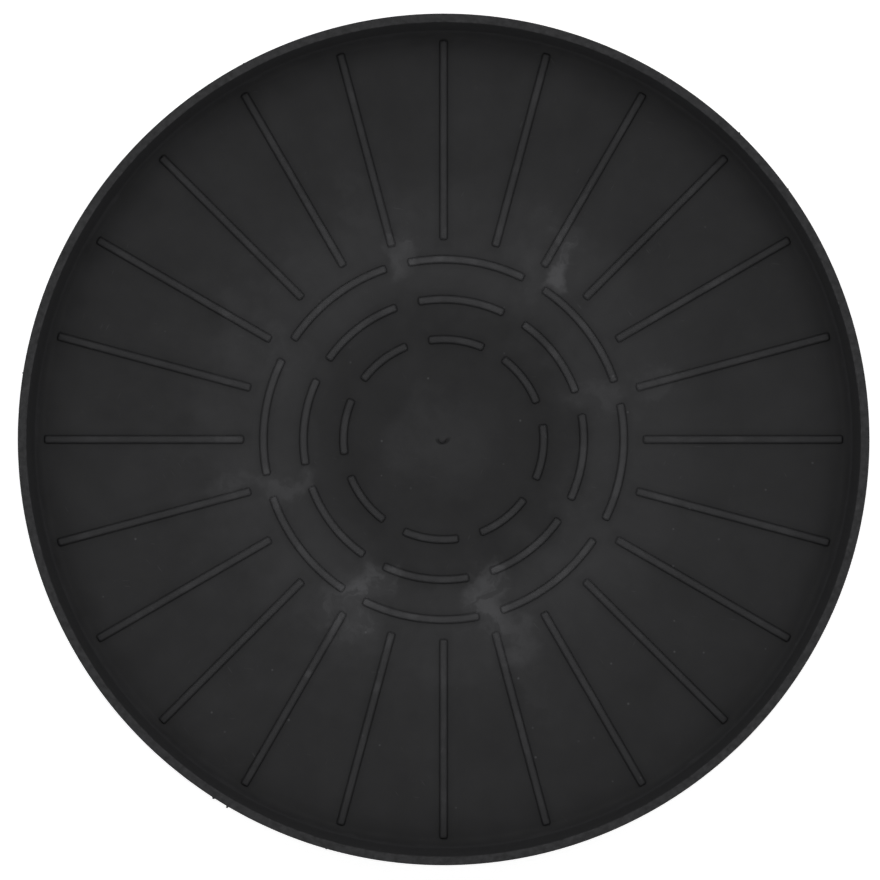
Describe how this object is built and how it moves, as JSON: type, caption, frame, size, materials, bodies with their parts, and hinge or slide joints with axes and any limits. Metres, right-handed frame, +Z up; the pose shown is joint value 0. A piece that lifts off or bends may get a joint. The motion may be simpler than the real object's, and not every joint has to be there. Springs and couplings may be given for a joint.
{
  "type": "plant pot caddy",
  "caption": "Round moulded tray on low swivel casters that carries a plant pot across a floor, with ribs that hold the pot off the tray's floor.",
  "frame": {"origin": "on the ground under the middle of the tray", "axes": "+Z up along the tray's axis, +Y towards the tray's rim over caster 1, +X to the right of it"},
  "size_m": [0.3, 0.3, 0.075],
  "materials": {
    "tray_plastic": "satin black polypropylene",
    "caster_plastic": "satin black nylon",
    "wheel_plastic": "matt black nylon",
    "steel": "zinc plated",
    "spring_steel": "oiled"
  },
  "bodies": {
    "tray": {"tray": "tray_plastic", "swivel_stem_1": "steel", "stem_grip_ring_1": "spring_steel", "stem_keeper_ring_1": "spring_steel", "swivel_stem_2": "steel", "stem_grip_ring_2": "spring_steel", "stem_keeper_ring_2": "spring_steel", "swivel_stem_3": "steel", "stem_grip_ring_3": "spring_steel", "stem_keeper_ring_3": "spring_steel", "swivel_stem_4": "steel", "stem_grip_ring_4": "spring_steel", "stem_keeper_ring_4": "spring_steel", "swivel_stem_5": "steel", "stem_grip_ring_5": "spring_steel", "stem_keeper_ring_5": "spring_steel"},
    "caster_1": {"caster_hood_1": "caster_plastic", "axle_1": "steel"},
    "wheel_left_1": {"wheel_left_1": "wheel_plastic"},
    "wheel_right_1": {"wheel_right_1": "wheel_plastic"},
    "caster_2": {"caster_hood_2": "caster_plastic", "axle_2": "steel"},
    "wheel_left_2": {"wheel_left_2": "wheel_plastic"},
    "wheel_right_2": {"wheel_right_2": "wheel_plastic"},
    "caster_3": {"caster_hood_3": "caster_plastic", "axle_3": "steel"},
    "wheel_left_3": {"wheel_left_3": "wheel_plastic"},
    "wheel_right_3": {"wheel_right_3": "wheel_plastic"},
    "caster_4": {"caster_hood_4": "caster_plastic", "axle_4": "steel"},
    "wheel_left_4": {"wheel_left_4": "wheel_plastic"},
    "wheel_right_4": {"wheel_right_4": "wheel_plastic"},
    "caster_5": {"caster_hood_5": "caster_plastic", "axle_5": "steel"},
    "wheel_left_5": {"wheel_left_5": "wheel_plastic"},
    "wheel_right_5": {"wheel_right_5": "wheel_plastic"}
  },
  "joints": [
    {"name": "swivel_1", "type": "hinge", "parent": "tray", "child": "caster_1", "pos_m": [0, 0.108, 0.03], "axis": [0, 0, 1], "continuous": true},
    {"name": "wheel_left_1_spin", "type": "hinge", "parent": "caster_1", "child": "wheel_left_1", "pos_m": [0, 0.12, 0.016], "axis": [1, 0, 0], "continuous": true},
    {"name": "wheel_right_1_spin", "type": "hinge", "parent": "caster_1", "child": "wheel_right_1", "pos_m": [0, 0.12, 0.016], "axis": [1, 0, 0], "continuous": true},
    {"name": "swivel_2", "type": "hinge", "parent": "tray", "child": "caster_2", "pos_m": [-0.10271, 0.03337, 0.03], "axis": [0, 0, 1], "continuous": true},
    {"name": "wheel_left_2_spin", "type": "hinge", "parent": "caster_2", "child": "wheel_left_2", "pos_m": [-0.11413, 0.03708, 0.016], "axis": [0.309, 0.9511, 0], "continuous": true},
    {"name": "wheel_right_2_spin", "type": "hinge", "parent": "caster_2", "child": "wheel_right_2", "pos_m": [-0.11413, 0.03708, 0.016], "axis": [0.309, 0.9511, 0], "continuous": true},
    {"name": "swivel_3", "type": "hinge", "parent": "tray", "child": "caster_3", "pos_m": [-0.06348, -0.08737, 0.03], "axis": [0, 0, 1], "continuous": true},
    {"name": "wheel_left_3_spin", "type": "hinge", "parent": "caster_3", "child": "wheel_left_3", "pos_m": [-0.07053, -0.09708, 0.016], "axis": [-0.809, 0.5878, 0], "continuous": true},
    {"name": "wheel_right_3_spin", "type": "hinge", "parent": "caster_3", "child": "wheel_right_3", "pos_m": [-0.07053, -0.09708, 0.016], "axis": [-0.809, 0.5878, 0], "continuous": true},
    {"name": "swivel_4", "type": "hinge", "parent": "tray", "child": "caster_4", "pos_m": [0.06348, -0.08737, 0.03], "axis": [0, 0, 1], "continuous": true},
    {"name": "wheel_left_4_spin", "type": "hinge", "parent": "caster_4", "child": "wheel_left_4", "pos_m": [0.07053, -0.09708, 0.016], "axis": [-0.809, -0.5878, 0], "continuous": true},
    {"name": "wheel_right_4_spin", "type": "hinge", "parent": "caster_4", "child": "wheel_right_4", "pos_m": [0.07053, -0.09708, 0.016], "axis": [-0.809, -0.5878, 0], "continuous": true},
    {"name": "swivel_5", "type": "hinge", "parent": "tray", "child": "caster_5", "pos_m": [0.10271, 0.03337, 0.03], "axis": [0, 0, 1], "continuous": true},
    {"name": "wheel_left_5_spin", "type": "hinge", "parent": "caster_5", "child": "wheel_left_5", "pos_m": [0.11413, 0.03708, 0.016], "axis": [0.309, -0.9511, 0], "continuous": true},
    {"name": "wheel_right_5_spin", "type": "hinge", "parent": "caster_5", "child": "wheel_right_5", "pos_m": [0.11413, 0.03708, 0.016], "axis": [0.309, -0.9511, 0], "continuous": true}
  ]
}
